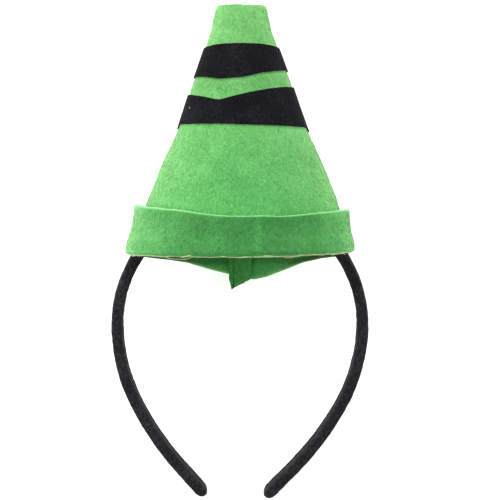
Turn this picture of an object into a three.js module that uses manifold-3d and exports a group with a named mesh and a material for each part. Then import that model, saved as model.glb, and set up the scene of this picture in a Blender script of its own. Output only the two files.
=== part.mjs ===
// Costume headband with a felt crayon hat, lying on its back on a flat surface.
// Millimetres, +Z up from the surface, +Y towards the tip of the hat, +X to the right.
// The origin is the middle of the footprint, on the surface.
import * as THREE from 'three';
import { mergeVertices } from 'three/addons/utils/BufferGeometryUtils.js';
import Module from 'manifold-3d';

const wasm = await Module();
wasm.setup();

// Felt cone of the hat
const coneHeight = 128;
const rimHalfWidth = 55.7;
const tipHalfWidth = 12.6;
const feltThickness = 1.4;
const coneLean = 0.6;
const tipDimple = 0.7;
const tipCorner = 1.0;
const nibShare = 0.845;

// Turned-up cuff
const cuffFrontHeight = 19.8;
const cuffSideHeight = 24;
const cuffSkew = 1.2;
const foldGap = 0.3;
const cuffStandOff = 3.3;

// How far the hem hangs below its two sides
const frontHemDrop = 6.6;
const backHemDrop = 10.4;

// Seam allowance inside the back of the cone
const seamWidth = 11.8;
const seamTopShare = 0.8;
const seamHangLeft = 6.6;
const seamHangRight = -0.4;
const seamBite = 0.5;
const seamClearance = 0.3;

// Black felt bands round the cone, below the narrower nib at its tip
const bandFelt = 1.0;
const bandGap = 0.3;
const upperBandBelowNib = 2.6;
const upperBandHeight = 18;
const greenStripe = 3.2;
const lowerBandHeight = 19.9;
const lowerBandSlant = 1.6;
const notchDepth = 7.6;
const tailLength = 2.2;
const tailReach = 0.35;

// Fabric-covered headband
const headbandThickness = 6.2;
const headbandWidth = 10.0;
const seatGap = 0.8;
const seatHeight = 1.0;
const widestBelowRim = 38;
const upperSideRadius = 67;
const lowerSideRadius = 93;
const lowerSideTurn = 26;
const armRadius = 158;
const armTurn = 15.5;
const straightEnd = 15.5;
const headbandSway = -1.6;

// Lying pose: the rim's middle over the surface, and the hat's axis dipping to its tip
const rimLift = 32.7;
const hatDip = 7;

// Fineness of the faceted surfaces
const stepsRound = 72;
const headbandSides = 14;
const headbandStep = 5;
const foldSteps = 6;
const weldDistance = 1e-4;
const tiny = 1e-6;

// The cone from the fold to the tip: taper is the share of the half width that is left,
// front and back are half depths as shares of the half width, lean is a share of coneLean.
const coneSections = [
  { up: 0, taper: 1, front: 0.66, back: 0.56, lean: 0 },
  { up: 0.04, taper: 0.985, front: 0.66, back: 0.56, lean: 0 },
  { up: 0.085, taper: 0.935, front: 0.66, back: 0.56, lean: 0.4 },
  { up: 0.225, taper: 0.797, front: 0.66, back: 0.56, lean: 2.1 },
  { up: 0.36, taper: 0.635, front: 0.66, back: 0.56, lean: 2.3 },
  { up: 0.49, taper: 0.457, front: 0.66, back: 0.56, lean: 2.5 },
  { up: 0.66, taper: 0.301, front: 0.66, back: 0.56, lean: 2.2 },
  { up: nibShare, taper: 0.112, front: 0.66, back: 0.56, lean: 1.1 },
  { up: 0.885, taper: 0.07, front: 0.62, back: 0.54, lean: 1 },
  { up: 1, taper: 0, front: 0.52, back: 0.5, lean: 1 },
];

// The cuff from the fold to its cut edge: up is a share of its height, out of cuffStandOff.
const cuffSections = [
  { up: 0.2, out: 0.04 },
  { up: 0.5, out: 0.2 },
  { up: 0.78, out: 0.58 },
  { up: 1, out: 1 },
];

// The back of the hem: across is x as a share of the half width, drop of backHemDrop.
const backHem = [
  { across: -1, drop: 0 },
  { across: -0.66, drop: 0.08 },
  { across: -0.49, drop: 0.18 },
  { across: -0.31, drop: 0.45 },
  { across: -0.11, drop: 0.72 },
  { across: 0.12, drop: 1 },
  { across: 0.25, drop: 0.86 },
  { across: 0.44, drop: 0.47 },
  { across: 0.58, drop: 0.2 },
  { across: 0.75, drop: 0.04 },
  { across: 1, drop: 0 },
];

// Edges of the black bands: across is x as a share of the half width.
// The upper band's height changes across, as a share of upperBandHeight.
const upperBandEdge = [
  { across: -1, height: 0.885 },
  { across: -0.43, height: 1 },
  { across: 0, height: 0.965 },
  { across: 0.4, height: 0.835 },
  { across: 1, height: 0.7 },
];

// The lower band's top edge dips to a notch in front, as shares of notchDepth.
const lowerBandEdge = [
  { across: -1, front: 0.5, back: 0.5 },
  { across: -0.41, front: 1, back: 0.35 },
  { across: 0, front: 0.63, back: 0.25 },
  { across: 0.35, front: 0.355, back: 0.16 },
  { across: 0.71, front: 0.12, back: 0.07 },
  { across: 1, front: 0, back: 0 },
];

// Rounded ends of the headband: distance from the end and the share of the section
// that is left there, both as shares of the headband's half width
const roundedEnd = [
  { fromEnd: 1, size: 1 },
  { fromEnd: 0.5, size: 0.87 },
  { fromEnd: 0.13, size: 0.5 },
];

const degrees = Math.PI / 180;
const quarterTurn = Math.PI / 2;
const upperBandTop = coneHeight * nibShare - upperBandBelowNib;
const lowerBandTop = upperBandTop - upperBandHeight - greenStripe;

// Value of one column of a table, linear between its rows
function lookUp(table, key, at, column) {
  const last = table.length - 1;
  let row = 0;
  while (row < last - 1 && at > table[row + 1][key]) {
    row += 1;
  }
  const from = table[row];
  const to = table[row + 1];
  const share = THREE.MathUtils.clamp((at - from[key]) / (to[key] - from[key]), 0, 1);
  return from[column] + (to[column] - from[column]) * share;
}

// Hem: how far its fold hangs below the sides at an angle round the cone.
// Angle 0 is the right side, and a quarter turn on is the middle of the front.
function hemDrop(angle) {
  const toFront = Math.sin(angle);
  if (toFront >= 0) {
    return frontHemDrop * toFront;
  }
  return backHemDrop * lookUp(backHem, 'across', Math.cos(angle), 'drop');
}

function halfWidthAt(up) {
  return tipHalfWidth + (rimHalfWidth - tipHalfWidth) * lookUp(coneSections, 'up', up, 'taper');
}

// Point beside the outer face of the cone, in the hat's own frame: axis +Z, front -Y.
// The hem's drop fades out evenly towards the tip, so the straight stretch stays straight.
function conePoint(angle, up, offset) {
  const halfWidth = halfWidthAt(up);
  const side = Math.sin(angle) >= 0 ? 'front' : 'back';
  const halfDepth = halfWidth * lookUp(coneSections, 'up', up, side);
  const lean = coneLean * lookUp(coneSections, 'up', up, 'lean');
  return new THREE.Vector3(
    lean + (halfWidth + offset) * Math.cos(angle),
    -(halfDepth + offset) * Math.sin(angle),
    coneHeight * up - hemDrop(angle) * (1 - up),
  );
}

// The flat surface presses the back of the cuff in: furthest back that felt may reach
function pressToSurface(point, depthIntoFelt) {
  const surface = (rimLift - point.z * Math.sin(hatDip * degrees)) / Math.cos(hatDip * degrees);
  point.y = Math.min(point.y, surface - depthIntoFelt);
  return point;
}

function geometryFrom(positions, triangles) {
  const geometry = new THREE.BufferGeometry();
  const flat = positions.flatMap((point) => point.toArray());
  geometry.setAttribute('position', new THREE.Float32BufferAttribute(flat, 3));
  geometry.setIndex(triangles);
  return geometry;
}

// Closed skin over rings of equal size: the last ring joins the first,
// or each end closes on a point of its own
function skin(rings, endsJoin, startPoint, endPoint) {
  const count = rings[0].length;
  const positions = rings.flat();
  const triangles = [];
  const spans = endsJoin ? rings.length : rings.length - 1;
  for (let ring = 0; ring < spans; ring += 1) {
    const here = ring * count;
    const next = ((ring + 1) % rings.length) * count;
    for (let step = 0; step < count; step += 1) {
      const after = (step + 1) % count;
      triangles.push(here + step, next + after, here + after);
      triangles.push(here + step, next + step, next + after);
    }
  }
  if (!endsJoin) {
    const start = positions.length;
    positions.push(startPoint, endPoint);
    const lastRing = (rings.length - 1) * count;
    for (let step = 0; step < count; step += 1) {
      const after = (step + 1) % count;
      triangles.push(start, step, after);
      triangles.push(start + 1, lastRing + after, lastRing + step);
    }
  }
  return geometryFrom(positions, triangles);
}

function ringRound(pointAtAngle) {
  const ring = [];
  for (let step = 0; step < stepsRound; step += 1) {
    ring.push(pointAtAngle((step / stepsRound) * 2 * Math.PI));
  }
  return ring;
}

function toSolid(geometry) {
  const bare = geometry.clone();
  bare.deleteAttribute('normal');
  bare.deleteAttribute('uv');
  const merged = mergeVertices(bare, weldDistance);
  return new wasm.Manifold(new wasm.Mesh({
    numProp: 3,
    vertProperties: new Float32Array(merged.attributes.position.array),
    triVerts: new Uint32Array(merged.index.array),
  }));
}

function fromSolid(solid) {
  const mesh = solid.getMesh();
  const geometry = new THREE.BufferGeometry();
  geometry.setAttribute('position', new THREE.Float32BufferAttribute(mesh.vertProperties, 3));
  geometry.setIndex(Array.from(mesh.triVerts));
  return geometry;
}

// Felt shell of the cone, one wall from the inside of the tip down to the fold,
// up the cuff and back down its inside, then up the outside of the cone
const foldRadius = feltThickness + foldGap / 2;
const foldMiddle = foldGap / 2;

function foldRing(turn, radius) {
  return ringRound((angle) => {
    const point = conePoint(angle, 0, foldMiddle - radius * Math.cos(turn));
    point.z += foldRadius - radius * Math.sin(turn);
    return point;
  });
}

// The cuff is turned up higher at the sides, and higher on the left than on the right
function cuffHeightAt(angle) {
  const sideways = Math.cos(angle) ** 2;
  const height = cuffFrontHeight + (cuffSideHeight - cuffFrontHeight) * sideways;
  return height - cuffSkew * Math.cos(angle);
}

function cuffRing(section, depthIntoFelt) {
  return ringRound((angle) => {
    const height = cuffHeightAt(angle) * section.up;
    const up = height / coneHeight;
    const offset = foldGap + cuffStandOff * section.out + feltThickness - depthIntoFelt;
    const point = conePoint(angle, up, offset);
    point.z = height - hemDrop(angle);
    return pressToSurface(point, depthIntoFelt);
  });
}

function coneShell() {
  const rings = [];
  const wallRows = coneSections.filter((row) => row.up > 0 && row.up < 1);
  const innerTop = 1 - feltThickness / coneHeight;
  const shoulder = 1 - tipCorner / coneHeight;
  rings.push(ringRound((angle) => conePoint(angle, innerTop, -feltThickness)));
  for (const row of wallRows.toReversed()) {
    rings.push(ringRound((angle) => conePoint(angle, row.up, -feltThickness)));
  }
  for (let step = 0; step <= foldSteps; step += 1) {
    rings.push(foldRing((Math.PI * step) / foldSteps, foldRadius));
  }
  for (const row of cuffSections) {
    rings.push(cuffRing(row, 0));
  }
  for (const row of cuffSections.toReversed()) {
    rings.push(cuffRing(row, feltThickness));
  }
  for (const turn of [Math.PI, Math.PI / 2, 0]) {
    rings.push(foldRing(turn, foldGap / 2));
  }
  for (const row of wallRows) {
    rings.push(ringRound((angle) => conePoint(angle, row.up, 0)));
  }
  rings.push(ringRound((angle) => conePoint(angle, shoulder, 0)));
  rings.push(ringRound((angle) => conePoint(angle, 1, -tipCorner)));
  const innerMiddle = new THREE.Vector3(coneLean, 0, coneHeight - feltThickness - tipDimple);
  const outerMiddle = new THREE.Vector3(coneLean, 0, coneHeight - tipDimple);
  return skin(rings, false, innerMiddle, outerMiddle);
}

// Strip of felt left over at the seam, lying on the inside of the back wall
// and hanging out below the fold with a slanted end
function seamAllowance() {
  const corner = (side, up, depth, hang) => {
    const angle = -Math.acos((side * seamWidth) / 2 / halfWidthAt(up));
    const point = conePoint(angle, up, -depth);
    point.x = lookUp(coneSections, 'up', up, 'lean') * coneLean + (side * seamWidth) / 2;
    point.z -= hang;
    return point;
  };
  const section = (up, outside, hangLeft, hangRight) => {
    const inside = outside + feltThickness;
    return [
      corner(1, up, outside, hangRight),
      corner(1, up, inside, hangRight),
      corner(-1, up, inside, hangLeft),
      corner(-1, up, outside, hangLeft),
    ];
  };
  const clearOfFold = feltThickness + seamClearance;
  const bitten = feltThickness - seamBite;
  const rings = [
    section(0, clearOfFold, seamHangLeft, seamHangRight),
    section(coneSections[1].up, clearOfFold, 0, 0),
  ];
  for (const row of coneSections.slice(2)) {
    if (row.up < seamTopShare) {
      rings.push(section(row.up, bitten, 0, 0));
    }
  }
  rings.push(section(seamTopShare, bitten, 0, 0));
  const middle = (ring) => ring[0].clone().add(ring[2]).multiplyScalar(0.5);
  return skin(rings, false, middle(rings[0]), middle(rings.at(-1)));
}

// Black felt band: a flat strip round the straight stretch of the cone,
// with the heights of its edges measured up the cone
function feltBand(topAt, bottomAt) {
  const ringAt = (edge, offset) => ringRound((angle) => {
    return conePoint(angle, edge(angle) / coneHeight, offset);
  });
  const inner = bandGap;
  const outer = bandGap + bandFelt;
  const rings = [
    ringAt(bottomAt, inner),
    ringAt(bottomAt, outer),
    ringAt(topAt, outer),
    ringAt(topAt, inner),
  ];
  return skin(rings, true);
}

function upperBandTopAt() {
  return upperBandTop;
}

function upperBandBottomAt(angle) {
  return upperBandTop - upperBandHeight * lookUp(upperBandEdge, 'across', Math.cos(angle), 'height');
}

function lowerBandTopAt(angle) {
  const side = Math.sin(angle) >= 0 ? 'front' : 'back';
  return lowerBandTop - notchDepth * lookUp(lowerBandEdge, 'across', Math.cos(angle), side);
}

// Short pointed tails hang just behind both sides of the lower band
function lowerBandBottomAt(angle) {
  const behind = -Math.sin(angle);
  const tail = behind > -tiny ? tailLength * Math.max(0, 1 - behind / tailReach) : 0;
  return lowerBandTop - lowerBandHeight - (lowerBandSlant / 2) * Math.cos(angle) - tail;
}

// Headband: one half of its centre line from the middle of the crown to an end,
// in its own plane, with z measured from the rim of the hat
function headbandHalf() {
  const seatTurn = Math.asin((widestBelowRim + seatHeight) / upperSideRadius);
  const inset = seatGap + headbandThickness / 2;
  const widest = rimHalfWidth - feltThickness - inset / Math.cos(seatTurn)
    + upperSideRadius * (1 - Math.cos(seatTurn));
  const crownTurn = Math.asin(widestBelowRim / upperSideRadius);
  const crownRadius = (widest - upperSideRadius * (1 - Math.cos(crownTurn))) / Math.cos(crownTurn);
  const points = [];
  const arc = (centreX, centreZ, radius, from, to) => {
    const steps = Math.ceil((radius * Math.abs(to - from)) / headbandStep);
    for (let step = 0; step < steps; step += 1) {
      const angle = from + ((to - from) * step) / steps;
      points.push(new THREE.Vector2(
        centreX + radius * Math.cos(angle),
        centreZ + radius * Math.sin(angle),
      ));
    }
  };
  const sideCentreX = widest - upperSideRadius;
  arc(0, -crownRadius * Math.sin(crownTurn), crownRadius, quarterTurn, crownTurn);
  arc(sideCentreX, -widestBelowRim, upperSideRadius, crownTurn, 0);
  const lowerTurn = -lowerSideTurn * degrees;
  const lowerCentreX = widest - lowerSideRadius;
  arc(lowerCentreX, -widestBelowRim, lowerSideRadius, 0, lowerTurn);
  const armCentreX = lowerCentreX + (lowerSideRadius - armRadius) * Math.cos(lowerTurn);
  const armCentreZ = -widestBelowRim + (lowerSideRadius - armRadius) * Math.sin(lowerTurn);
  const endTurn = lowerTurn - armTurn * degrees;
  arc(armCentreX, armCentreZ, armRadius, lowerTurn, endTurn);
  const endX = armCentreX + armRadius * Math.cos(endTurn);
  const endZ = armCentreZ + armRadius * Math.sin(endTurn);
  const straightSteps = Math.ceil(straightEnd / headbandStep);
  for (let step = 0; step <= straightSteps; step += 1) {
    const along = (straightEnd * step) / straightSteps;
    points.push(new THREE.Vector2(
      endX + along * Math.sin(endTurn),
      endZ - along * Math.cos(endTurn),
    ));
  }
  return points;
}

function headbandGeometry() {
  const half = headbandHalf();
  const left = half.slice(1).reverse().map((point) => new THREE.Vector2(-point.x, point.y));
  const swayCentre = new THREE.Vector2(0, -widestBelowRim);
  const line = [...left, ...half].map((point) => point.rotateAround(swayCentre, headbandSway * degrees));
  const ringAt = (place, across, size) => {
    const ring = [];
    for (let side = 0; side < headbandSides; side += 1) {
      const turn = ((side + 0.5) / headbandSides) * 2 * Math.PI;
      const outward = size * (headbandThickness / 2) * Math.sign(Math.cos(turn))
        * Math.sqrt(Math.abs(Math.cos(turn)));
      const sideways = size * (headbandWidth / 2) * Math.sign(Math.sin(turn))
        * Math.sqrt(Math.abs(Math.sin(turn)));
      ring.push(new THREE.Vector3(place.x + across.x * outward, sideways, place.y + across.y * outward));
    }
    return ring;
  };
  const rings = [];
  const last = line.length - 1;
  const direction = (index) => {
    const before = line[Math.max(index - 1, 0)];
    const after = line[Math.min(index + 1, last)];
    return after.clone().sub(before).normalize();
  };
  const outwardOf = (along) => new THREE.Vector2(-along.y, along.x);
  const halfWidth = headbandWidth / 2;
  const startAlong = direction(0);
  const endAlong = direction(last);
  for (const row of roundedEnd.toReversed()) {
    const place = line[0].clone().addScaledVector(startAlong, halfWidth * (row.fromEnd - 1));
    rings.push(ringAt(place, outwardOf(startAlong), row.size));
  }
  for (let index = 1; index < last; index += 1) {
    rings.push(ringAt(line[index], outwardOf(direction(index)), 1));
  }
  for (const row of roundedEnd) {
    const place = line[last].clone().addScaledVector(endAlong, halfWidth * (1 - row.fromEnd));
    rings.push(ringAt(place, outwardOf(endAlong), row.size));
  }
  const startTip = line[0].clone().addScaledVector(startAlong, -halfWidth);
  const endTip = line[last].clone().addScaledVector(endAlong, halfWidth);
  return skin(
    rings,
    false,
    new THREE.Vector3(startTip.x, 0, startTip.y),
    new THREE.Vector3(endTip.x, 0, endTip.y),
  );
}

const greenFelt = new THREE.MeshStandardMaterial({ color: 0x4cc63c, roughness: 1, metalness: 0 });
const blackFelt = new THREE.MeshStandardMaterial({ color: 0x17151a, roughness: 1, metalness: 0 });
const blackVelvet = new THREE.MeshStandardMaterial({ color: 0x111113, roughness: 1, metalness: 0 });

function named(name, geometry, material) {
  const mesh = new THREE.Mesh(geometry, material);
  mesh.name = name;
  return mesh;
}

// The hat stands on its own axis and is laid on its back with its tip dipping
const hat = new THREE.Group();
const shell = toSolid(coneShell()).add(toSolid(seamAllowance()));
hat.add(named('felt_hat', fromSolid(shell), greenFelt));
hat.add(named('upper_black_band', feltBand(upperBandTopAt, upperBandBottomAt), blackFelt));
hat.add(named('lower_black_band', feltBand(lowerBandTopAt, lowerBandBottomAt), blackFelt.clone()));
hat.rotation.x = -(quarterTurn + hatDip * degrees);
hat.position.z = rimLift;

// Slope at which the first point of the two arms, below the rim, touches the surface
function slopeToSurface(geometry) {
  const points = geometry.attributes.position;
  let slope = quarterTurn;
  for (let index = 0; index < points.count; index += 1) {
    const reach = Math.hypot(points.getY(index), points.getZ(index));
    if (points.getZ(index) < 0 && reach > rimLift) {
      const start = Math.atan2(points.getY(index), -points.getZ(index));
      slope = Math.min(slope, Math.asin(rimLift / reach) - start);
    }
  }
  return slope;
}

// The headband hangs from the rim's middle until its two ends lie on the surface
const headband = named('headband', headbandGeometry(), blackVelvet);
headband.rotation.x = slopeToSurface(headband.geometry) - quarterTurn;
headband.position.z = rimLift;

const headpiece = new THREE.Group();
headpiece.add(hat, headband);
headpiece.updateMatrixWorld(true);
const box = new THREE.Box3().setFromObject(headpiece, true);
const middle = box.getCenter(new THREE.Vector3());
headpiece.position.set(-middle.x, -middle.y, -box.min.z);

export default headpiece;
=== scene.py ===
import math

import bpy
import numpy as np
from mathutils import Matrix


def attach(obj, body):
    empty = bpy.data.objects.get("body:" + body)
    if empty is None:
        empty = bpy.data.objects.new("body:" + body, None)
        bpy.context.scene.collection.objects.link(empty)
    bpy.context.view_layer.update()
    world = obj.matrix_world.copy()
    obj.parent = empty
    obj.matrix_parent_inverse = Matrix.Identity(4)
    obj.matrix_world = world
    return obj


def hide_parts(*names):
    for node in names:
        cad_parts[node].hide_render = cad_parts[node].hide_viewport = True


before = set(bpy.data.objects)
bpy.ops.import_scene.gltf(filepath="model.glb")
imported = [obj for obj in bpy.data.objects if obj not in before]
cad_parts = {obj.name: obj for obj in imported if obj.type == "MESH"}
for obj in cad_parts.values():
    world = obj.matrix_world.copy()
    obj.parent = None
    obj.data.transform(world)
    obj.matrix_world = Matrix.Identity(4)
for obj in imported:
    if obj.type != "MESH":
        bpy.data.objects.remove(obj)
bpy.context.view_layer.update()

MM = 0.001
TURN = 2 * math.pi
QUARTER = math.pi / 2

# Sizes that the solids have too
CONE_HEIGHT = 128.0
RIM_HALF_WIDTH = 55.7
TIP_HALF_WIDTH = 12.6
FELT = 1.4
CONE_LEAN = 0.6
TIP_DIMPLE = 0.7
TIP_CORNER = 1.0
NIB = 0.845
CUFF_FRONT = 19.8
CUFF_SIDE = 24.0
CUFF_SKEW = 1.2
FOLD_GAP = 0.3
CUFF_OUT = 3.3
FRONT_DROP = 6.6
BACK_DROP = 10.4
SEAM_WIDTH = 11.8
SEAM_TOP = 0.8
SEAM_LEFT = 6.6
SEAM_RIGHT = -0.4
UPPER_TOP = CONE_HEIGHT * NIB - 2.6
UPPER_HEIGHT = 18.0
LOWER_TOP = UPPER_TOP - UPPER_HEIGHT - 3.2
LOWER_HEIGHT = 19.9
LOWER_SLANT = 1.6
NOTCH = 7.6
TAIL = 2.2
TAIL_REACH = 0.35
BAND_THICK = 6.2
BAND_WIDE = 10.0
SEAT_GAP = 0.8
SEAT_HEIGHT = 1.0
WIDEST_BELOW = 38.0
UPPER_RADIUS = 67.0
LOWER_RADIUS = 93.0
LOWER_TURN = math.radians(26)
ARM_RADIUS = 158.0
ARM_TURN = math.radians(15.5)
STRAIGHT_END = 15.5
BAND_SWAY = math.radians(-1.6)
RIM_LIFT = 32.7
HAT_DIP = math.radians(7)
HAT_TILT = -(QUARTER + HAT_DIP)
BAND_TILT = -1.349157
SHIFT_X = 0.00644
SHIFT_Y = -0.03513

# Fineness of the meshes
AROUND = 340
ANGLES = np.arange(AROUND) / AROUND * TURN
BAND_AROUND = 400
COVER_AROUND = 64

# Small forms of the cloth: millimetres, radians round the cone and shares of its height
CORNER_LIFT = 1.25
CORNER_LIFT_FRONT = 1.15
CORNER_LIFT_BACK = 0.35
RIGHT_SAG = 0.6
RIGHT_SAG_SPREAD = 0.3
LEFT_SAG = 0.5
LEFT_SAG_SPREAD = 0.4
HEM_FORMS_TOP = 0.16
LEFT_CORNER_OUT = 1.0
RIGHT_CORNER_IN = 0.35
BAND_END_DROP = 0.8
TIP_FRONT_DROP = 0.9
TIP_EDGE_FROM = 0.96
TIP_DENT = 0.45
TIP_DENT_AT = 4.5
TIP_DENT_SPREAD = 3.6
TIP_RINGS = ((0.99, 0.85), (0.96, 0.7), (0.8, 0.75), (0.55, 0.8), (0.28, 0.85))
FOLD_TUCK = 0.25
FOLD_TUCK_TOP = 0.16
CREASE_AT = 1.414
CREASE_SPREAD = 1.3
CREASE_RISE = 0.42
CUFF_WAVE = 0.45
EDGE_WAVE = 0.28
CONE_SEAM_DEPTH = 0.45
CONE_SEAM_SPREAD = 0.7
BAND_JOINT_DEPTH = 0.4
BAND_JOINT_SPREAD = 0.5
BAND_INNER = 0.2
BAND_OUTER = 0.95
COVER_SEAM_DEPTH = 0.35
LINT_ANGLE = math.radians(151.25)
LINT_UP = 0.5715
LINT_LENGTH = 0.0085
LINT_RADIUS = 0.2

# Shares of painted shade and painted light, and of a purer green for painted sheen, that the mesh
# holds
CONE_LOW_SHADE = 0.18
CONE_FRONT_SHADE = 0.04
BAND_GAP_SHADE = 0.2
BAND_GAP_AT = 0.67
BAND_GAP_SPREAD = 0.045
CONE_PAINTED_SHEEN_PURITY = 0.9
CUFF_SHADE = 0.82
CUFF_MOTTLE = 0.12
CREASE_LIGHT = 0.42
HOLLOW_FROM = -3.4
HOLLOW_EDGE = 1.8
HOLLOW_SHADE = 0.66
HOLLOW_GLOW = 0.3
FOLD_PAINTED_HIGHLIGHT = 0.6
FOLD_PAINTED_HIGHLIGHT_TURN = 1.1
FOLD_PAINTED_HIGHLIGHT_SPREAD = 0.35
FOLD_CORNER_TURN = 1.7

# Shares of each noise in the cloth's tone, and the tones at which its colours change
STREAK_SHARE = 0.62
SPECK_SHARE = 0.1
PATCH_SHARE = 0.28
TONE_DARK = 0.36
TONE_MIDDLE = 0.5
TONE_LIGHT = 0.64

# Single fibres of the felt
FIBRE_RING = np.arange(3) / 3 * TURN
FIBRE_POINTS = 7
FIBRE_LENGTH = (1.4, 3.4)
FIBRE_RADIUS = (0.06, 0.115)
FIBRE_LEAN = 0.42
FIBRE_CURL = 0.35
CONE_FIBRES = 18500
CUFF_FIBRES = 7500
FOLD_FIBRE_STEPS = 620
LOOSE_HANG = 1.5

# Floor, lamps and camera, in metres
FLOOR_REACH = 60.0
FLOOR_CORNERS = ((-1, -1), (1, -1), (1, 1), (-1, 1))
FLOOR_DROP = 0.0003
FLOOR_GLOW = 0.62
WORLD_LIGHT = 0.34
LAMP_SIZE = 0.9
AIM = (0.0, 0.03, 0.03)
CAMERA_PLACE = (0.0051, 0.00136, 0.75)
CAMERA_LENS = 103.06

# Tables of the cone, its cuff, the back hem, the seam's ends and the black bands' edges
UP = np.array([0, 0.04, 0.085, 0.225, 0.36, 0.49, 0.66, NIB, 0.885, 1])
TAPER = np.array([1, 0.985, 0.935, 0.797, 0.635, 0.457, 0.301, 0.112, 0.07, 0])
FRONT = np.array([0.66, 0.66, 0.66, 0.66, 0.66, 0.66, 0.66, 0.66, 0.62, 0.52])
BACK = np.array([0.56, 0.56, 0.56, 0.56, 0.56, 0.56, 0.56, 0.56, 0.54, 0.5])
LEAN = np.array([0, 0, 0.4, 2.1, 2.3, 2.5, 2.2, 1.1, 1, 1])
CUFF_UP = np.array([0, 0.2, 0.5, 0.78, 1])
CUFF_SHARE = np.array([0, 0.04, 0.2, 0.58, 1])
EDGE_ACROSS = np.array([-1, -0.88, -0.74, -0.6, -0.4, -0.2, 0.9, 1])
EDGE_RISE = np.array([-0.4, -0.1, 0.55, 0.85, 0.6, 0, 0, -0.35])
HEM_ACROSS = np.array([-1, -0.66, -0.49, -0.31, -0.11, 0.12, 0.25, 0.44, 0.58, 0.75, 1])
HEM_DROP = np.array([0, 0.08, 0.18, 0.45, 0.72, 1, 0.86, 0.47, 0.2, 0.04, 0])
SEAM_ACROSS = np.array([-0.5, -0.45, -0.39, 0.5])
SEAM_HANG = np.array([3.4, 4.6, SEAM_LEFT + 1.5, SEAM_RIGHT])
UPPER_ACROSS = np.array([-1, -0.43, 0, 0.4, 1])
UPPER_SHARE = np.array([0.885, 1, 0.965, 0.835, 0.7])
LOWER_ACROSS = np.array([-1, -0.41, 0, 0.35, 0.71, 1])
LOWER_FRONT = np.array([0.5, 1, 0.63, 0.355, 0.12, 0])
LOWER_BACK = np.array([0.5, 0.35, 0.25, 0.16, 0.07, 0])


def softened(table, width):
    """A table over UP sampled finely, with its corners rounded over a width in millimetres."""
    fine = np.linspace(-0.25, 1.25, 1537)
    low = TAPER_SLOPES[0] if table is TAPER else 0
    high = TAPER_SLOPES[1] if table is TAPER else 0
    values = np.interp(fine, UP, table)
    values = np.where(fine < 0, table[0] + low * fine, values)
    values = np.where(fine > 1, table[-1] + high * (fine - 1), values)
    reach = int(width / CONE_HEIGHT / (fine[1] - fine[0]))
    kernel = np.hanning(2 * reach + 3)
    return fine, np.convolve(values, kernel / kernel.sum(), mode="same")


TAPER_SLOPES = (
    (TAPER[1] - TAPER[0]) / (UP[1] - UP[0]),
    (TAPER[-1] - TAPER[-2]) / (UP[-1] - UP[-2]),
)
SOFT_TAPER = softened(TAPER, 2.4)
SOFT_FRONT = softened(FRONT, 6.0)
SOFT_BACK = softened(BACK, 6.0)
SOFT_LEAN = softened(LEAN, 6.0)


def wobble(points, size, seed):
    """Smooth value noise from -1 to 1 at points in millimetres. The same every run."""
    place = np.asarray(points, float) / size
    cell = np.floor(place).astype(np.int64)
    part = place - cell
    ease = part * part * (3 - 2 * part)
    total = 0.0
    for corner in range(8):
        step = np.array([corner & 1, corner >> 1 & 1, corner >> 2 & 1])
        at = cell + step
        mixed = (at[..., 0] * 374761393 + at[..., 1] * 668265263
                 + at[..., 2] * 2147483629 + seed * 1274126177) & 0xFFFFFFFF
        mixed = ((mixed ^ (mixed >> 13)) * 1274126177) & 0xFFFFFFFF
        mixed = mixed ^ (mixed >> 16)
        weight = np.prod(np.where(step == 1, ease, 1 - ease), axis=-1)
        total = total + weight * (mixed / 0xFFFFFFFF * 2 - 1)
    return total


def places(*columns):
    """Points for the noise out of columns, or single numbers, of x, y and z."""
    return np.stack(np.broadcast_arrays(*columns), axis=-1)


def hump(value, middle, spread):
    """1 in the middle, falling off smoothly to both sides."""
    return np.exp(-((value - middle) / spread) ** 2)


def front_middle(angle):
    """1 at the middle of the front, 0 at the sides and behind."""
    return np.clip(np.sin(angle), 0, 1)


def hem_drop(angle):
    """How far the hem hangs below the rim's level: a bow in front, a table behind."""
    across = np.cos(angle)
    back = BACK_DROP * np.interp(across, HEM_ACROSS, HEM_DROP)
    return np.where(np.sin(angle) >= 0, FRONT_DROP * np.sin(angle), back)


def corner_lift(angle, up):
    """How much higher the front hem stands towards its right corner, and how much lower its
    two corners hang, fading out up the cone."""
    right = (angle + math.pi) % TURN - math.pi
    left = angle % TURN - math.pi
    lift = CORNER_LIFT * hump(right, 0, np.where(right < 0, CORNER_LIFT_BACK, CORNER_LIFT_FRONT))
    sag = RIGHT_SAG * hump(right, 0, RIGHT_SAG_SPREAD) + LEFT_SAG * hump(left, 0, LEFT_SAG_SPREAD)
    return (lift - sag) * np.clip(1 - up / HEM_FORMS_TOP, 0, 1)


def half_width(up):
    return TIP_HALF_WIDTH + (RIM_HALF_WIDTH - TIP_HALF_WIDTH) * np.interp(up, *SOFT_TAPER)


def cone_point(angle, up, offset):
    """Points beside the cone's outer face, in the hat's own frame: axis +Z, front -Y."""
    angle, up, offset = np.broadcast_arrays(angle, up, offset)
    wide = half_width(up)
    front, back = np.interp(up, *SOFT_FRONT), np.interp(up, *SOFT_BACK)
    deep = wide * np.where(np.sin(angle) >= 0, front, back)
    x = CONE_LEAN * np.interp(up, *SOFT_LEAN) + (wide + offset) * np.cos(angle)
    y = -(deep + offset) * np.sin(angle)
    z = CONE_HEIGHT * up - hem_drop(angle) * (1 - up) + corner_lift(angle, up)
    tip_edge = np.clip((up - TIP_EDGE_FROM) / (1 - TIP_EDGE_FROM), 0, 1)
    z = z - TIP_FRONT_DROP * front_middle(angle) * tip_edge
    return np.stack([x, y, z], axis=-1)


def buckle(points):
    """Soft unevenness of the felt cone, which the bands on it share."""
    return 0.3 * wobble(points, 27, 1) + 0.12 * wobble(points, 10, 2)


def nap(points, seed):
    """Fine relief of brushed felt."""
    return 0.07 * wobble(points, 2.6, seed) + 0.05 * wobble(points, 1.5, seed + 1)


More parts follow.
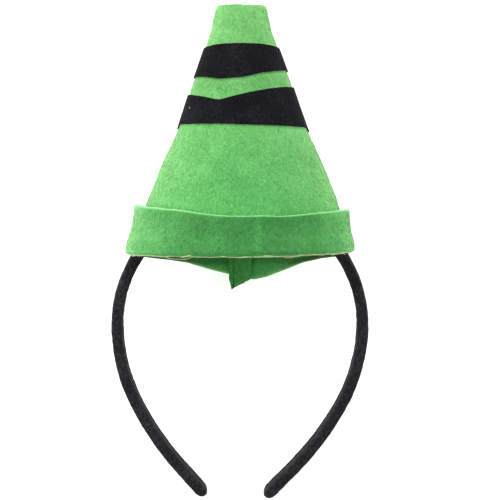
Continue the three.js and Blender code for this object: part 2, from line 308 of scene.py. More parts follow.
def laid(points, tilt):
    """Millimetres in a tilted frame to metres in the row frame."""
    c, s = math.cos(tilt), math.sin(tilt)
    x, y, z = points[..., 0], points[..., 1], points[..., 2]
    return np.stack([x + SHIFT_X, y * c - z * s + SHIFT_Y, y * s + z * c + RIM_LIFT], axis=-1) * MM


def lay_hat(points):
    return laid(points, HAT_TILT)


def lay_band(points):
    return laid(points, BAND_TILT)


def facing_out(mesh):
    """Turns a closed mesh the right way round if its volume is negative."""
    points = np.array([v.co for v in mesh.vertices])
    mesh.calc_loop_triangles()
    corners = np.array([t.vertices for t in mesh.loop_triangles])
    a, b, c = points[corners[:, 0]], points[corners[:, 1]], points[corners[:, 2]]
    if np.einsum("ij,ij->i", a, np.cross(b, c)).sum() < 0:
        mesh.flip_normals()


def piece_of(name, points, faces, values):
    """A smooth closed piece, with its named values held at every point."""
    mesh = bpy.data.meshes.new(name)
    mesh.from_pydata(points.tolist(), [], faces)
    mesh.polygons.foreach_set("use_smooth", np.ones(len(mesh.polygons), bool))
    for key, column in values.items():
        held = mesh.attributes.new(key, "FLOAT", "POINT")
        held.data.foreach_set("value", column.astype(np.float32))
    mesh.update()
    piece = bpy.data.objects.new(name, mesh)
    bpy.context.scene.collection.objects.link(piece)
    facing_out(mesh)
    return piece


def skin(name, rings, joined=False, ends=None, values=None):
    """A closed piece over rings of points: joined end to end, or closed on two end points."""
    rows, count = rings.shape[:2]
    points = rings.reshape(-1, 3)
    row = np.arange(rows if joined else rows - 1)[:, None]
    step = np.arange(count)[None, :]
    here, following = row * count, ((row + 1) % rows) * count
    after = (step + 1) % count
    quads = np.stack([here + step, following + step, following + after, here + after], axis=-1)
    faces = quads.reshape(-1, 4).tolist()
    if ends is not None:
        first = len(points)
        points = np.concatenate([points, np.asarray(ends)])
        last_row = (rows - 1) * count
        for at in range(count):
            turn = (at + 1) % count
            faces.append([first, at, turn])
            faces.append([first + 1, last_row + turn, last_row + at])
    columns = {}
    for key, column in (values or {}).items():
        columns[key] = np.zeros(len(points))
        columns[key][:rows * count] = np.broadcast_to(column, (rows, count)).ravel()
    return piece_of(name, points, faces, columns)


# The felt hat
def cuff_height(angle):
    """How high the cuff's edge stands above the fold. The table's rises are for the front."""
    sideways = np.cos(angle) ** 2
    rise = np.interp(np.cos(angle), EDGE_ACROSS, EDGE_RISE)
    rise = np.where(np.sin(angle) < 0, np.minimum(rise, 0), rise)
    return CUFF_FRONT + (CUFF_SIDE - CUFF_FRONT) * sideways - CUFF_SKEW * np.cos(angle) + rise


def pressed(points, depth):
    """The surface presses the back of the cuff in."""
    limit = (RIM_LIFT - points[..., 2] * math.sin(HAT_DIP)) / math.cos(HAT_DIP)
    points[..., 1] = np.minimum(points[..., 1], limit - depth)
    return points


def crease(angle):
    """A faint upright packing crease in the front of the cuff, right of the middle."""
    return hump(angle, CREASE_AT, CREASE_SPREAD / RIM_HALF_WIDTH)


def cone_dark(angle, up):
    """How much less light the cone gets: low in its front, and between the black bands."""
    low = CONE_LOW_SHADE * front_middle(angle) ** 2 * np.maximum(0.0, 1 - up * 1.4)
    between_bands = BAND_GAP_SHADE * hump(up, BAND_GAP_AT, BAND_GAP_SPREAD)
    return low + between_bands + CONE_FRONT_SHADE * front_middle(angle)


def cone_painted_sheen_purity(angle, up):
    """Painted sheen: how much purer the green is painted low in the middle of the front, where the
    felt shows the least sheen.
    """
    return CONE_PAINTED_SHEEN_PURITY * front_middle(angle) ** 1.6 * np.clip(1.08 - up * 1.35, 0, 1)


def cuff_dark(angle, share):
    """How much less light the cuff gets towards the middle of its front, but for the crease."""
    middle = front_middle(angle) ** 1.3 * (1 + 0.12 * np.cos(angle))
    uneven = CUFF_MOTTLE * wobble(places(angle * 50, 0, 0), 6, 13)
    dark = CUFF_SHADE * middle - CREASE_LIGHT * crease(angle) + uneven * middle
    return np.clip(dark, 0, 1) * (0.9 + 0.1 * share)


def cuff_painted_sheen_purity(angle):
    """Painted sheen: how much purer the cuff's green is painted, most of all in front, where it shows
    the least sheen.
    """
    return np.clip(0.3 + 0.55 * front_middle(angle) + 0.12 * np.cos(angle), 0, 1)


def hollow_near(points):
    """From 0 at the low back hem to 1 where the felt inside lies in the hat's own shade."""
    return np.clip((points[:, 2] - HOLLOW_FROM) / HOLLOW_EDGE, 0, 1)


def hollow_dark(points):
    """How much less light the felt inside the hat gets above its hem."""
    glow = HOLLOW_GLOW * np.clip((points[:, 2] - 4) / 14, 0, 1)
    return HOLLOW_SHADE * hollow_near(points) - glow


def back_groove(angle, up, depth, spread):
    """The shallow groove at the middle of the back where a seam or a joint closes the felt."""
    return -depth * hump(np.abs(angle - 3 * QUARTER) * half_width(up), 0, spread)


def wall_row(up, offset, seed):
    """A ring of the cone's wall at a share of its height, offset from the outer face."""
    base = cone_point(ANGLES, up, 0)
    groove = 0.0
    if offset == 0:
        groove = back_groove(ANGLES, up, CONE_SEAM_DEPTH, CONE_SEAM_SPREAD)
    return cone_point(ANGLES, up, offset + buckle(base) + nap(base, seed) + groove)


def fold_row(turn, radius):
    """A ring of the fold: turn goes from the inside of the cone under the hem to the cuff."""
    outer = FELT + FOLD_GAP / 2
    base = cone_point(ANGLES, 0, 0)
    uneven = 0.0
    tuck = 0.0
    if radius >= outer:
        uneven = nap(base * 0.7 + turn, 5)
        tuck = FOLD_TUCK * np.sin(ANGLES) ** 2 * max(0.0, -math.cos(turn))
    points = cone_point(
        ANGLES, 0, FOLD_GAP / 2 - (radius + uneven) * math.cos(turn) + buckle(base) - tuck)
    points[:, 2] += outer - (radius + uneven) * math.sin(turn)
    return pressed(points, 0)


def cuff_point(angle, share, depth, lift=0.0):
    """Points of the cuff: share of its height from the fold, depth into the felt."""
    angle, share = np.broadcast_arrays(angle, share)
    wavy = places(np.cos(angle) * 50, np.sin(angle) * 50, 0)
    height = cuff_height(angle) * share + share ** 4 * EDGE_WAVE * wobble(wavy, 9, 11)
    base = cone_point(angle, height / CONE_HEIGHT, 0)
    left = np.clip(-np.cos(angle), 0, 1) ** 4
    right = np.clip(np.cos(angle), 0, 1) ** 4
    corner = (LEFT_CORNER_OUT * left - RIGHT_CORNER_IN * right) * share ** 3
    out = CUFF_OUT * np.interp(share, CUFF_UP, CUFF_SHARE) + corner
    own = share * share * CUFF_WAVE * wobble(wavy, 22, 12)
    own = own + CREASE_RISE * crease(angle) * np.clip(share * 4, 0, 1)
    tuck = 0.0
    if not depth:
        tuck = FOLD_TUCK * np.sin(angle) ** 2 * np.maximum(0.0, 1 - share / FOLD_TUCK_TOP) ** 2
    offset = FOLD_GAP + out + FELT - depth + buckle(base) + own - tuck + lift
    points = cone_point(angle, height / CONE_HEIGHT, offset + nap(base, 7 if depth else 8))
    points[..., 2] = height - hem_drop(angle) + corner_lift(angle, 0) * (1 - share)
    return pressed(points, depth)


def tip_row(size, drop):
    """A ring of the closed tip: size is its share of the tip's half width."""
    middle = np.array([CONE_LEAN, 0, CONE_HEIGHT])
    ring = middle + (cone_point(ANGLES, 1, 0) - middle) * size
    dent = TIP_DENT * hump(ring[:, 0], TIP_DENT_AT, TIP_DENT_SPREAD)
    ring[:, 2] += 0.2 * wobble(ring * [1, 0.4, 1], 5, 21) - drop - dent
    return ring


def fold_looks(row, turn):
    """Where the fold gets a painted highlight, painted olive shade, painted shade and a purer green
    for painted sheen, at one turn of it.
    """
    # A painted highlight: a pale line round the back of the fold's curve.
    painted_highlight = FOLD_PAINTED_HIGHLIGHT * (np.sin(ANGLES) < -0.1) * hump(turn, FOLD_PAINTED_HIGHLIGHT_TURN, FOLD_PAINTED_HIGHLIGHT_SPREAD)
    behind = np.sin(ANGLES) < 0
    side = hollow_near(row) * behind * max(0.0, math.cos(turn))
    corner = behind * np.clip((np.abs(np.cos(ANGLES)) - 0.35) / 0.4, 0, 1) * (turn < FOLD_CORNER_TURN)
    dark = cuff_dark(ANGLES, 1.0) * (1 - math.cos(turn)) / 2
    # cut is the painted highlight, low painted olive shade under the curve and in the back corners,
    # dark painted shade, deep a purer green for painted sheen.
    return {
        "cut": painted_highlight * (1 - corner),
        "low": 0.5 * math.sin(turn) ** 6 * (1 - corner) + 0.9 * corner,
        "dark": np.clip(dark + 0.75 * side + 0.6 * corner, 0, 1),
        "deep": cuff_painted_sheen_purity(ANGLES) * (1 - 0.6 * corner),
    }


def felt_cone():
    """One wall from inside the tip down, round the fold, up the cuff and down its inside, then
    up the outside of the cone to the tip."""
    rows, edge, fold, shade, painted_sheen_purity = [], [], [], [], []

    # cut: paler cut edges, partly the felt's cut face and partly a painted highlight, and the painted
    # highlight on the fold; low: painted olive shade; dark: painted shade; deep: a purer green for
    # painted sheen.
    def put(row, cut=0.0, low=0.0, dark=0.0, deep=0.0):
        rows.append(row)
        edge.append(np.broadcast_to(cut, (AROUND,)))
        fold.append(np.broadcast_to(low, (AROUND,)))
        shade.append(np.broadcast_to(dark, (AROUND,)))
        painted_sheen_purity.append(np.broadcast_to(deep, (AROUND,)))

    inside_ups = np.linspace(1 - FELT / CONE_HEIGHT, 0.14, 24), np.linspace(0.13, 0.02, 14)
    # The inside: painted shade above the hem, and painted olive shade at the back hem's ends.
    for up in np.concatenate(inside_ups):
        row = wall_row(up, -FELT, 3)
        side = hollow_near(row) * np.cos(ANGLES) ** 2
        put(row, low=0.85 * side, dark=hollow_dark(row), deep=0.9 - 0.7 * side)
    for turn in np.linspace(0, math.pi, 13):
        row = fold_row(turn, FELT + FOLD_GAP / 2)
        put(row, **fold_looks(row, turn))
    for share in np.linspace(0.09, 0.975, 32):
        put(cuff_point(ANGLES, share, 0), cut=0.85 * (share > 0.96),
            dark=cuff_dark(ANGLES, share), deep=cuff_painted_sheen_purity(ANGLES))
    # The cut edge: paler as the felt's cut face, with a painted highlight on it.
    for depth, share in ((0.12, 0.994), (0.5, 1.0), (0.9, 1.0), (1.28, 0.994)):
        put(cuff_point(ANGLES, share, depth), cut=1.0)
    for share in np.linspace(0.97, 0.09, 11):
        put(cuff_point(ANGLES, share, FELT))
    for turn in (math.pi, QUARTER, 0):
        put(fold_row(turn, FOLD_GAP / 2))
    for up in np.linspace(0.02, 1 - 2.2 / CONE_HEIGHT, 164):
        put(wall_row(up, 0, 6), dark=cone_dark(ANGLES, up), deep=cone_painted_sheen_purity(ANGLES, up))
    put(wall_row(1 - TIP_CORNER * 1.1 / CONE_HEIGHT, 0, 6))
    for size, drop in TIP_RINGS:
        put(tip_row(size, drop))
    inside = [CONE_LEAN, 0, CONE_HEIGHT - FELT - TIP_DIMPLE]
    outside = [CONE_LEAN, 0, CONE_HEIGHT - TIP_DIMPLE]
    ends = lay_hat(np.array([inside, outside]))
    values = {"cut_edge_and_highlight": np.array(edge), "fold_painted_shade": np.array(fold),
              "shade": np.array(shade), "deep": np.array(painted_sheen_purity)}
    return skin("felt_cone", lay_hat(np.array(rows)), ends=ends, values=values)


def fuzz(name, count, seed, place, spread, darkness, depth):
    """Short closed fibres on a felt face. place(u, v, lift) gives points, spread the u and v that
    a millimetre across and along the nap takes, darkness(u, v) the painted shade and depth(u, v)
    the purer green for painted sheen."""
    draw = np.random.default_rng(seed)
    u, v = spread["draw"](draw, count)
    length = draw.uniform(*FIBRE_LENGTH, len(u))
    lean = draw.normal(0, FIBRE_LEAN, len(u)) + 0.5 * wobble(places(u * 40, v * 90, 0), 9, seed)
    curl = draw.normal(0, FIBRE_CURL, len(u))
    loft = draw.uniform(0.02, 0.12, len(u)) + 0.3 * draw.random(len(u)) ** 5
    rows = []
    for share in (0.0, 0.5, 1.0):
        bend = lean + curl * share
        across = np.sin(bend) * length * share
        along = np.cos(bend) * length * share
        lift = -0.04 + loft * (0.75 * share if share < 1 else 1.0)
        rows.append(place(u + across * spread["across"](u, v), v + along * spread["along"], lift))
    outward = place(u, v, 1.0) - place(u, v, 0.0)
    outward /= np.linalg.norm(outward, axis=-1)[:, None]
    axis = rows[2] - rows[0]
    axis /= np.linalg.norm(axis, axis=-1)[:, None]
    side = np.cross(axis, outward)
    side /= np.linalg.norm(side, axis=-1)[:, None]
    radius = draw.uniform(*FIBRE_RADIUS, len(u))[:, None]
    parts = []
    for row, thick in ((rows[0], 0.7), (rows[1], 1.0)):
        for turn in FIBRE_RING:
            parts.append(row + (side * math.cos(turn) + outward * math.sin(turn)) * radius * thick)
    parts.append(rows[2])
    points = lay_hat(np.stack(parts, axis=1)).reshape(-1, 3)
    first = (np.arange(len(u)) * FIBRE_POINTS)[:, None]
    pairs = [(0, 1), (1, 2), (2, 0)]
    quads = np.concatenate([first + [a, b, b + 3, a + 3] for a, b in pairs])
    tips = np.concatenate([first + [a + 3, b + 3, 6] for a, b in pairs] + [first + [2, 1, 0]])
    kinds = {"tone": draw.random(len(u)), "shade": darkness(u, v), "deep": depth(u, v)}
    values = {key: np.repeat(column, FIBRE_POINTS) for key, column in kinds.items()}
    return piece_of(name, points, quads.tolist() + tips.tolist(), values)


def cone_face(angle, up, lift):
    """Points on the outside of the cone, or lifted off it."""
    base = cone_point(angle, up, 0)
    return cone_point(angle, up, buckle(base) + nap(base, 6) + lift)


def draw_on_cone(draw, count):
    """Places on the bare cone, evenly by area, clear of the cuff and the black bands."""
    angle, up = draw.uniform(0, TURN, count * 4), draw.uniform(0.08, 0.965, count * 4)
    keep = draw.random(count * 4) < half_width(up) / RIM_HALF_WIDTH
    height, reach = up * CONE_HEIGHT, 3.4
    keep &= height > cuff_height(angle) - 4
    for top, bottom in ((upper_top, upper_bottom), (lower_top, lower_bottom)):
        keep &= (height > top(angle) + 0.2) | (height < bottom(angle) - reach)
    chosen = np.flatnonzero(keep)[:count]
    return angle[chosen], up[chosen]


def cuff_face(angle, share, lift):
    """Points on the outside of the cuff, or lifted off it."""
    return cuff_point(angle, np.clip(share, 0, 1), 0, lift)


def draw_on_cuff(draw, count):
    """Places on the cuff, clear of the fold and of the cut edge."""
    return draw.uniform(0, TURN, count), draw.uniform(0.04, 0.86, count)


def felt_fuzz():
    """The two fields of short fibres, one on the cone and one on the cuff."""
    over_cone = {"draw": draw_on_cone, "across": lambda u, v: 1 / half_width(v),
                 "along": 1 / CONE_HEIGHT}
    over_cuff = {"draw": draw_on_cuff, "across": lambda u, v: 1 / RIM_HALF_WIDTH,
                 "along": 1 / CUFF_SIDE}
    return [
        fuzz("cone_fuzz", CONE_FIBRES, 81, cone_face, over_cone, cone_dark, cone_painted_sheen_purity),
        fuzz("cuff_fuzz", CUFF_FIBRES, 82, cuff_face, over_cuff, cuff_dark,
             lambda u, v: cuff_painted_sheen_purity(u)),
    ]


def lint():
    """One pale speck of lint on the left of the lower black band."""
    share = np.linspace(0, 1, 9)
    angle = LINT_ANGLE + 0.006 * np.sin(share * 4)
    up = LINT_UP + LINT_LENGTH * (share - 0.5)
    points = cone_point(angle, up, 1.05 + 0.12 * np.sin(share * math.pi))
    rings = strand(points, LINT_RADIUS * np.sin(0.3 + share * 2.5))
    return skin("lint", lay_hat(rings), ends=lay_hat(points[[0, -1]]))


def seam_allowance():
    """Two raw felt edges beside the back seam, inside the back wall, hanging out jagged."""
    across = np.linspace(-0.5, 0.5, 45)
    along = np.linspace(0, 1, 44) ** 1.5
    jag = 0.35 * wobble(places(across * 30, 0, 0), 1.1, 31)
    hang = np.interp(across, SEAM_ACROSS, SEAM_HANG)
    grooves = 0.55 * hump(across, -0.3, 0.028) + 0.3 * hump(across, 0.14, 0.03)
    ridge = 0.35 * hump(across, -0.12, 0.035)
    faces = {0: [], 1: []}
    for share in along:
        up = share * SEAM_TOP
        x = across * SEAM_WIDTH
        angle = -np.arccos(np.clip(x / half_width(up), -1, 1))
        fade = max(0.0, 1 - share * 9)
        clear = FELT + 0.3 - 0.28 * min(1.0, share * 8)
        for side in (0, 1):
            lift = (grooves - ridge) * side
            bend = 0.35 * fade * np.sin(across * 5)
            depth = clear + FELT * side - lift - bend * 0.4
            point = cone_point(angle, up, -depth)
            point[:, 0] = x + CONE_LEAN * np.interp(up, *SOFT_LEAN)
            point[:, 2] -= fade * (hang + jag)
            point += 0.06 * wobble(point, 1.7, 33)[:, None] * side
            faces[side].append(point)
    outer, inner = np.array(faces[0]), np.array(faces[1])
    rings = np.concatenate([outer, inner[:, ::-1]], axis=1)
    ends = [rings[0].mean(0), rings[-1].mean(0)]
    return skin("seam_allowance", lay_hat(rings), ends=lay_hat(np.array(ends)))


def strand(points, radius, sides=6):
    """Rings of a thin fibre along points."""
    along = np.gradient(points, axis=0)
    along /= np.linalg.norm(along, axis=1)[:, None]
    side = np.cross(along, [0.0, 0.0, 1.0])
    side /= np.linalg.norm(side, axis=1)[:, None]
    other = np.cross(along, side)
    turn = np.arange(sides) / sides * TURN
    ring = side[:, None] * np.cos(turn)[None, :, None] + other[:, None] * np.sin(turn)[None, :, None]
    return points[:, None] + ring * np.reshape(radius, (-1, 1, 1))


def fold_fibres(index):
    """A pale fibre along the front fold. The last of the three hangs below it."""
    steps = FOLD_FIBRE_STEPS
    angle = np.linspace(math.radians(172 - 3 * index), math.radians(11 + 4 * index), steps)
    at = places(angle * 44, index * 17, 0)
    turn = QUARTER + 0.1 - 0.22 * index + 0.3 * wobble(at, 4.2, 41) + 0.2 * wobble(at, 1.6, 42)
    outer = FELT + FOLD_GAP / 2 + 0.07
    base = cone_point(angle, 0, 0)
    points = cone_point(angle, 0, FOLD_GAP / 2 - outer * np.cos(turn) + buckle(base))
    points[:, 2] += FELT + FOLD_GAP / 2 - outer * np.sin(turn) + 0.22 * wobble(at, 3.4, 43)
    points[:, 2] -= (index == 2) * LOOSE_HANG * np.maximum(0, wobble(at, 7.0, 46))
    uneven = 0.12 * wobble(at, 3.1, 44) + 0.08 * wobble(at, 9.0, 45)
    radius = np.maximum(0.1, 0.36 - 0.09 * index + uneven)
    radius *= np.minimum(1, np.minimum(np.arange(steps) + 1, steps - np.arange(steps)) / 14)
    rings = strand(points, radius)
    ends = lay_hat(points[[0, -1]])
    return skin(f"fold_fibres_{index}", lay_hat(rings), ends=ends)


# Black felt bands
def felt_band(name, top_at, bottom_at, seed):
    """A closed strip of felt round the cone, with a butt joint at the back."""
    angles = np.arange(BAND_AROUND) / BAND_AROUND * TURN
    at = places(np.cos(angles) * 30, np.sin(angles) * 30, seed)
    top = top_at(angles) + 0.1 * wobble(at, 3.1, seed)
    bottom = bottom_at(angles) + 0.1 * wobble(at, 2.7, seed + 1)
    inner, outer = BAND_INNER, BAND_OUTER
    path = [(0.0, inner), (0.0, outer - 0.12), (0.006, outer - 0.02)]
    path += [(share, outer) for share in np.linspace(0.03, 0.97, 30)]
    path += [(0.994, outer - 0.02), (1.0, outer - 0.12), (1.0, inner), (0.66, inner), (0.33, inner)]
    rows, cut = [], []
    for share, offset in path:
        up = (bottom + (top - bottom) * share) / CONE_HEIGHT
        base = cone_point(angles, up, 0)
        relief = nap(base, seed + 2) * 0.7 if offset == outer else 0.0
        joint = 0.0
        if offset > inner:
            joint = back_groove(angles, up, BAND_JOINT_DEPTH, BAND_JOINT_SPREAD)
        rows.append(cone_point(angles, up, offset + buckle(base) + relief + joint))
        cut.append(1.0 if share in (0.0, 1.0) else 0.0)
    values = {"cut_edge_and_highlight": np.array(cut)[:, None]}
    return skin(name, lay_hat(np.array(rows)), joined=True, values=values)


def upper_top(angle):
    return UPPER_TOP - BAND_END_DROP * np.cos(angle) ** 4


def upper_bottom(angle):
    return UPPER_TOP - UPPER_HEIGHT * np.interp(np.cos(angle), UPPER_ACROSS, UPPER_SHARE)


def lower_top(angle):
    front = np.interp(np.cos(angle), LOWER_ACROSS, LOWER_FRONT)
    back = np.interp(np.cos(angle), LOWER_ACROSS, LOWER_BACK)
    return LOWER_TOP - NOTCH * np.where(np.sin(angle) >= 0, front, back)


def lower_bottom(angle):
    behind = -np.sin(angle)
    tail = np.where(behind > -1e-6, TAIL * np.maximum(0, 1 - behind / TAIL_REACH), 0)
    return LOWER_TOP - LOWER_HEIGHT - LOWER_SLANT / 2 * np.cos(angle) - tail


# The fabric-covered headband
def band_line():
    """The middle line from one end to the other: crown, sides, arms and straight ends."""
    seat =math.asin((WIDEST_BELOW + SEAT_HEIGHT) / UPPER_RADIUS)
    inset = SEAT_GAP + BAND_THICK / 2
    widest = (RIM_HALF_WIDTH - FELT - inset / math.cos(seat)
              + UPPER_RADIUS * (1 - math.cos(seat)))
    crown = math.asin(WIDEST_BELOW / UPPER_RADIUS)
    crown_radius = (widest - UPPER_RADIUS * (1 - math.cos(crown))) / math.cos(crown)
    points = []

    def arc(x, z, radius, start, stop):
        for angle in np.linspace(start, stop, int(radius * abs(stop - start) / 0.3) + 2)[:-1]:
            points.append((x + radius * math.cos(angle), z + radius * math.sin(angle)))

    arc(0, -crown_radius * math.sin(crown), crown_radius, QUARTER, crown)
    arc(widest - UPPER_RADIUS, -WIDEST_BELOW, UPPER_RADIUS, crown, 0)
    low_x = widest - LOWER_RADIUS
    arc(low_x, -WIDEST_BELOW, LOWER_RADIUS, 0, -LOWER_TURN)
    arm_x = low_x + (LOWER_RADIUS - ARM_RADIUS) * math.cos(LOWER_TURN)
    arm_z = -WIDEST_BELOW - (LOWER_RADIUS - ARM_RADIUS) * math.sin(LOWER_TURN)
    end = -LOWER_TURN - ARM_TURN
    arc(arm_x, arm_z, ARM_RADIUS, -LOWER_TURN, end)
    end_x, end_z = arm_x + ARM_RADIUS * math.cos(end), arm_z + ARM_RADIUS * math.sin(end)
    for along in np.linspace(0, STRAIGHT_END, 40):
        points.append((end_x + along * math.sin(end), end_z - along * math.cos(end)))
    half = np.array(points)
    line = np.concatenate([half[:0:-1] * [-1, 1], half])
    c, s = math.cos(BAND_SWAY), math.sin(BAND_SWAY)
    x, z = line[:, 0], line[:, 1] + WIDEST_BELOW
    return np.stack([x * c - z * s, x * s + z * c - WIDEST_BELOW], axis=-1)


def squarish(wave):
    """A sine or cosine drawn out, which makes a round section a rounded oblong."""
    return np.sign(wave) * np.sqrt(np.abs(wave))


def headband_cover():
    """The velvety cover round the whole band, with round ends and a seam on its inside."""
    line = band_line()
    half_wide = BAND_WIDE / 2
    for at, beside in ((0, 1), (-1, -2)):
        reach = (line[at] - line[beside]) / np.linalg.norm(line[at] - line[beside]) * half_wide
        line = np.insert(line, 0 if at == 0 else len(line), line[at] + reach, axis=0)
    length = np.concatenate([[0], np.cumsum(np.linalg.norm(np.diff(line, axis=0), axis=1))])
    whole = length[-1]
    body = np.linspace(half_wide, whole - half_wide, 620)
    cap = half_wide * (1 - np.cos(np.linspace(0.12, QUARTER, 9)))
    at = np.concatenate([cap[:-1], body, (whole - cap[:-1])[::-1]])
    from_end = np.minimum(np.minimum(at, whole - at), half_wide) / half_wide
    size = np.sqrt(np.clip(1 - (1 - from_end) ** 2, 0, 1))
    place = np.stack([np.interp(at, length, line[:, 0]), np.interp(at, length, line[:, 1])], -1)
    along = np.gradient(place, at, axis=0)
    along /= np.linalg.norm(along, axis=1)[:, None]
    outward = np.stack([-along[:, 1], along[:, 0]], axis=-1)
    turn = (np.arange(COVER_AROUND) + 0.5) / COVER_AROUND * TURN
    half_thick = BAND_THICK / 2
    thick = half_thick * squarish(np.cos(turn))
    wide = half_wide * squarish(np.sin(turn))
    seam = -COVER_SEAM_DEPTH * hump((turn - math.pi) * 3.2, 0, 0.5)
    rows = []
    for spot, normal, share, run in zip(place, outward, size, at):
        pile = places(run * 0.75, np.cos(turn) * 4, np.sin(turn) * 5)
        loops = 0.13 * wobble(pile, 1.25, 51) + 0.1 * wobble(pile * [0.4, 1, 1], 1.9, 52) - 0.12
        grow = 1 + (loops + seam) / half_thick * np.abs(np.cos(turn)) ** 0.5
        widen = 1 + loops / half_wide
        x = spot[0] + normal[0] * thick * share * grow
        z = spot[1] + normal[1] * thick * share * grow
        rows.append(np.stack([x, wide * share * widen, z], axis=-1))
    ends = [[place[0][0], 0, place[0][1]], [place[-1][0], 0, place[-1][1]]]
    return skin("headband_cover", lay_band(np.array(rows)), ends=lay_band(np.array(ends)))


# Materials
def linear(red, green, blue):
    """A colour of 0 to 255 as the shader's linear one."""
    def one(value):
        value /= 255
        return value / 12.92 if value <= 0.04045 else ((value + 0.055) / 1.055) ** 2.4

    return (one(red), one(green), one(blue), 1.0)


class Graph:
    """Small helper to write node trees briefly."""

    def __init__(self, name):
        self.material = bpy.data.materials.new(name)
        self.material.use_nodes = True
        self.tree = self.material.node_tree
        self.shader = self.tree.nodes["Principled BSDF"]

    def add(self, kind, **values):
        made = self.tree.nodes.new("ShaderNode" + kind)
        for key, value in values.items():
            if key in made.inputs.keys():
                self.feed(made.inputs[key], value)
            else:
                setattr(made, key, value)
        return made

    def feed(self, socket, value):
        if isinstance(value, bpy.types.NodeSocket):
            self.tree.links.new(value, socket)
        else:
            socket.default_value = value

    def noise(self, vector, scale, detail=2.0, rough=0.55):
        made = self.add("TexNoise", Vector=vector, Scale=scale, Detail=detail, Roughness=rough)
        return made.outputs["Factor"] if "Factor" in made.outputs.keys() else made.outputs["Fac"]

    def math(self, kind, first, second):
        made = self.tree.nodes.new("ShaderNodeMath")
        made.operation = kind
        self.feed(made.inputs[0], first)
        self.feed(made.inputs[1], second)
        return made.outputs[0]

    def span(self, value, low, high, to_low, to_high):
        made = self.add("MapRange")
        for index, item in enumerate((value, low, high, to_low, to_high)):
            self.feed(made.inputs[index], item)
        return made.outputs[0]

    def blend(self, share, first, second, kind="MIX"):
        made = self.tree.nodes.new("ShaderNodeMix")
        made.data_type = "RGBA"
        made.blend_type = kind
        self.feed(made.inputs[0], share)
        self.feed(made.inputs[6], first)
        self.feed(made.inputs[7], second)
        return made.outputs[2]

    def toned(self, colour):
        """A colour with the painted shade, and the purer green for painted sheen, that the mesh
        holds.
        """
        for key, tint in (("shade", (0.42, 0.5, 0.46, 1.0)), ("deep", (0.55, 0.95, 0.78, 1.0))):
            share = self.add("Attribute", attribute_name=key).outputs["Fac"]
            colour = self.blend(share, colour, self.blend(1.0, colour, tint, "MULTIPLY"))
        return colour


def felt_material(name, dark, middle, light, stretch, streak, edge_and_highlight_colour, fold_shade_colour,
                  sheen, tint):
    """Brushed cloth in three tones, in streaks of a fineness that stretch draws out."""
    g = Graph(name)
    where = g.add("TexCoord").outputs["Object"]
    drift = g.add("TexNoise", Vector=where, Scale=130.0, Detail=1.0).outputs["Color"]
    push = g.add("VectorMath", operation="MULTIPLY_ADD")
    g.feed(push.inputs[0], drift)
    g.feed(push.inputs[1], (0.004, 0.002, 0.004))
    g.feed(push.inputs[2], where)
    fine_place = g.add("Mapping", Vector=push.outputs[0], Scale=stretch).outputs[0]
    streaks = g.noise(fine_place, streak, 3.0, 0.6)
    specks = g.noise(push.outputs[0], streak * 2.3, 2.0, 0.5)
    patches = g.noise(where, 75.0, 2.0)
    tone = g.math("ADD", g.math("MULTIPLY", streaks, STREAK_SHARE),
                  g.math("MULTIPLY", specks, SPECK_SHARE))
    tone = g.math("ADD", tone, g.math("MULTIPLY", patches, PATCH_SHARE))
    lower = g.blend(g.span(tone, TONE_DARK, TONE_MIDDLE, 0.0, 1.0), dark, middle)
    colour = g.blend(g.span(tone, TONE_MIDDLE, TONE_LIGHT, 0.0, 1.0), lower, light)
    # Paler cut edges, partly the felt's cut face and partly a painted highlight, and the painted
    # highlight on the fold.
    cut = g.add("Attribute", attribute_name="cut_edge_and_highlight").outputs["Fac"]
    colour = g.blend(g.math("MULTIPLY", cut, 0.75), colour, edge_and_highlight_colour)
    # Painted olive shade under the fold and in the hollow at the back hem's ends.
    fold = g.add("Attribute", attribute_name="fold_painted_shade").outputs["Fac"]
    colour = g.blend(g.math("MULTIPLY", fold, 0.9), colour, fold_shade_colour)
    colour = g.toned(colour)
    height = g.math("ADD", g.math("MULTIPLY", streaks, 0.65), g.math("MULTIPLY", specks, 0.35))
    bump = g.add("Bump", Height=height, Strength=0.55, Distance=0.0005).outputs["Normal"]
    g.feed(g.shader.inputs["Base Color"], colour)
    g.feed(g.shader.inputs["Normal"], bump)
    g.feed(g.shader.inputs["Roughness"], g.span(specks, 0.3, 0.7, 0.86, 1.0))
    g.shader.inputs["Specular IOR Level"].default_value = 0.15
    g.shader.inputs["Sheen Weight"].default_value = sheen
    g.shader.inputs["Sheen Roughness"].default_value = 0.45
    g.shader.inputs["Sheen Tint"].default_value = tint
    return g.material


def fuzz_material():
    """Single fibres of the green felt, each of its own tone."""
    g = Graph("green_felt_fibres")
    tone = g.add("Attribute", attribute_name="tone").outputs["Fac"]
    colour = g.blend(tone, linear(94, 172, 90), linear(164, 228, 148))
    # With the painted shade and the purer green for painted sheen that the mesh holds.
    g.feed(g.shader.inputs["Base Color"], g.toned(colour))
    g.shader.inputs["Roughness"].default_value = 0.85
    g.shader.inputs["Specular IOR Level"].default_value = 0.2
    g.shader.inputs["Sheen Weight"].default_value = 0.3
    g.shader.inputs["Sheen Tint"].default_value = linear(214, 246, 206)
    return g.material


green_felt = felt_material(
    "brushed_green_felt", linear(84, 160, 82), linear(110, 187, 101), linear(140, 209, 126),
    stretch=(1.0, 0.33, 1.0), streak=1650.0, edge_and_highlight_colour=linear(166, 244, 158),
    fold_shade_colour=linear(104, 124, 70), sheen=0.62, tint=linear(232, 246, 222))
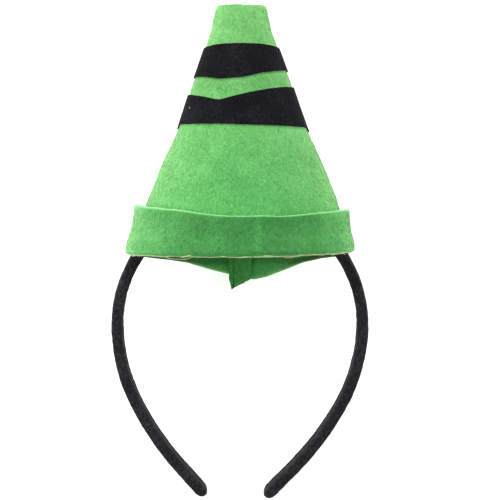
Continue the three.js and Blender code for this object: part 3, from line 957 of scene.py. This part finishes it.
# A darker, less sheeny copy of the green felt for the seam inside the hat: painted shade.
inside_felt = felt_material(
    "painted_shade_green_felt", linear(62, 140, 68), linear(80, 164, 82), linear(104, 186, 100),
    stretch=(1.0, 0.35, 1.0), streak=1500.0, edge_and_highlight_colour=linear(140, 214, 130),
    fold_shade_colour=linear(120, 150, 92), sheen=0.15, tint=linear(190, 240, 180))
black_felt = felt_material(
    "flat_black_felt", linear(5, 5, 8), linear(13, 12, 16), linear(34, 31, 39),
    stretch=(1.0, 0.3, 1.0), streak=1300.0, edge_and_highlight_colour=linear(7, 12, 9),
    fold_shade_colour=linear(15, 14, 18), sheen=0.018, tint=linear(120, 120, 130))
velvet = felt_material(
    "black_velvety_cover", linear(24, 23, 26), linear(38, 37, 40), linear(64, 62, 67),
    stretch=(1.0, 0.6, 1.0), streak=900.0, edge_and_highlight_colour=linear(38, 37, 40),
    fold_shade_colour=linear(38, 37, 40), sheen=0.08, tint=linear(150, 148, 156))
fibre = felt_material(
    "pale_fibres", linear(150, 184, 118), linear(186, 214, 150), linear(214, 232, 186),
    stretch=(1.0, 1.0, 1.0), streak=1800.0, edge_and_highlight_colour=linear(200, 212, 166),
    fold_shade_colour=linear(200, 212, 166), sheen=0.2, tint=linear(230, 240, 210))

# The pieces, their materials and the nodes that they dress
cone = felt_cone()
seam = seam_allowance()
fibres = [fold_fibres(index) for index in range(3)]
upper = felt_band("upper_felt_band", upper_top, upper_bottom, 61)
lower = felt_band("lower_felt_band", lower_top, lower_bottom, 71)
cover = headband_cover()
fuzzes = felt_fuzz()
speck = lint()
fuzz_green = fuzz_material()

for piece, material, slot in [
    (cone, green_felt, "green_felt"),
    *[(field, fuzz_green, "green_felt") for field in fuzzes],
    (speck, fibre, "black_felt"),
    (seam, inside_felt, "green_felt"),
    *[(line, fibre, "green_felt") for line in fibres],
    (upper, black_felt, "black_felt"),
    (lower, black_felt, "black_felt"),
    (cover, velvet, "black_band"),
]:
    piece.data.materials.append(material)
    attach(piece, "root")
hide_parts("felt_hat")
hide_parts("upper_black_band")
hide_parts("lower_black_band")
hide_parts("headband")

# The floor, the light and the camera
floor_mesh = bpy.data.meshes.new("floor")
floor_points = [(x * FLOOR_REACH, y * FLOOR_REACH, 0) for x, y in FLOOR_CORNERS]
floor_mesh.from_pydata(floor_points, [], [(0, 1, 2, 3)])
floor = bpy.data.objects.new("floor", floor_mesh)
floor.location.z = -FLOOR_DROP
bpy.context.scene.collection.objects.link(floor)
paper = bpy.data.materials.new("pale_floor")
paper.use_nodes = True
paper_shader = paper.node_tree.nodes["Principled BSDF"]
paper_shader.inputs["Base Color"].default_value = (0.92, 0.92, 0.92, 1)
paper_shader.inputs["Roughness"].default_value = 0.9
paper_shader.inputs["Emission Color"].default_value = (1, 1, 1, 1)
paper_shader.inputs["Emission Strength"].default_value = FLOOR_GLOW
floor_mesh.materials.append(paper)

world = bpy.data.worlds.new("studio")
bpy.context.scene.world = world
world.use_nodes = True
backdrop = world.node_tree.nodes["Background"]
backdrop.inputs["Color"].default_value = (1, 1, 1, 1)
backdrop.inputs["Strength"].default_value = WORLD_LIGHT


def softbox(name, place, power):
    """A square lamp that faces the hat."""
    lamp = bpy.data.lights.new(name, "AREA")
    lamp.shape = "SQUARE"
    lamp.size = LAMP_SIZE
    lamp.energy = power
    item = bpy.data.objects.new(name, lamp)
    item.location = place
    direction = np.array(AIM) - np.array(place)
    pitch = math.atan2(math.hypot(direction[0], direction[1]), -direction[2])
    item.rotation_euler = (pitch, 0, math.atan2(direction[1], direction[0]) - QUARTER)
    bpy.context.scene.collection.objects.link(item)


softbox("key_above_tip", (-0.2, 1.0, 0.55), 9.0)
softbox("left_side", (-1.0, 0.15, 0.45), 9.0)
softbox("right_side", (1.0, 0.15, 0.5), 6.5)

camera_data = bpy.data.cameras.new("camera")
camera_data.sensor_width = 36.0
camera_data.lens = CAMERA_LENS
camera_data.clip_start = 0.01
camera = bpy.data.objects.new("camera", camera_data)
camera.location = CAMERA_PLACE
bpy.context.scene.collection.objects.link(camera)
bpy.context.scene.camera = camera
bpy.context.scene.view_settings.view_transform = "Standard"
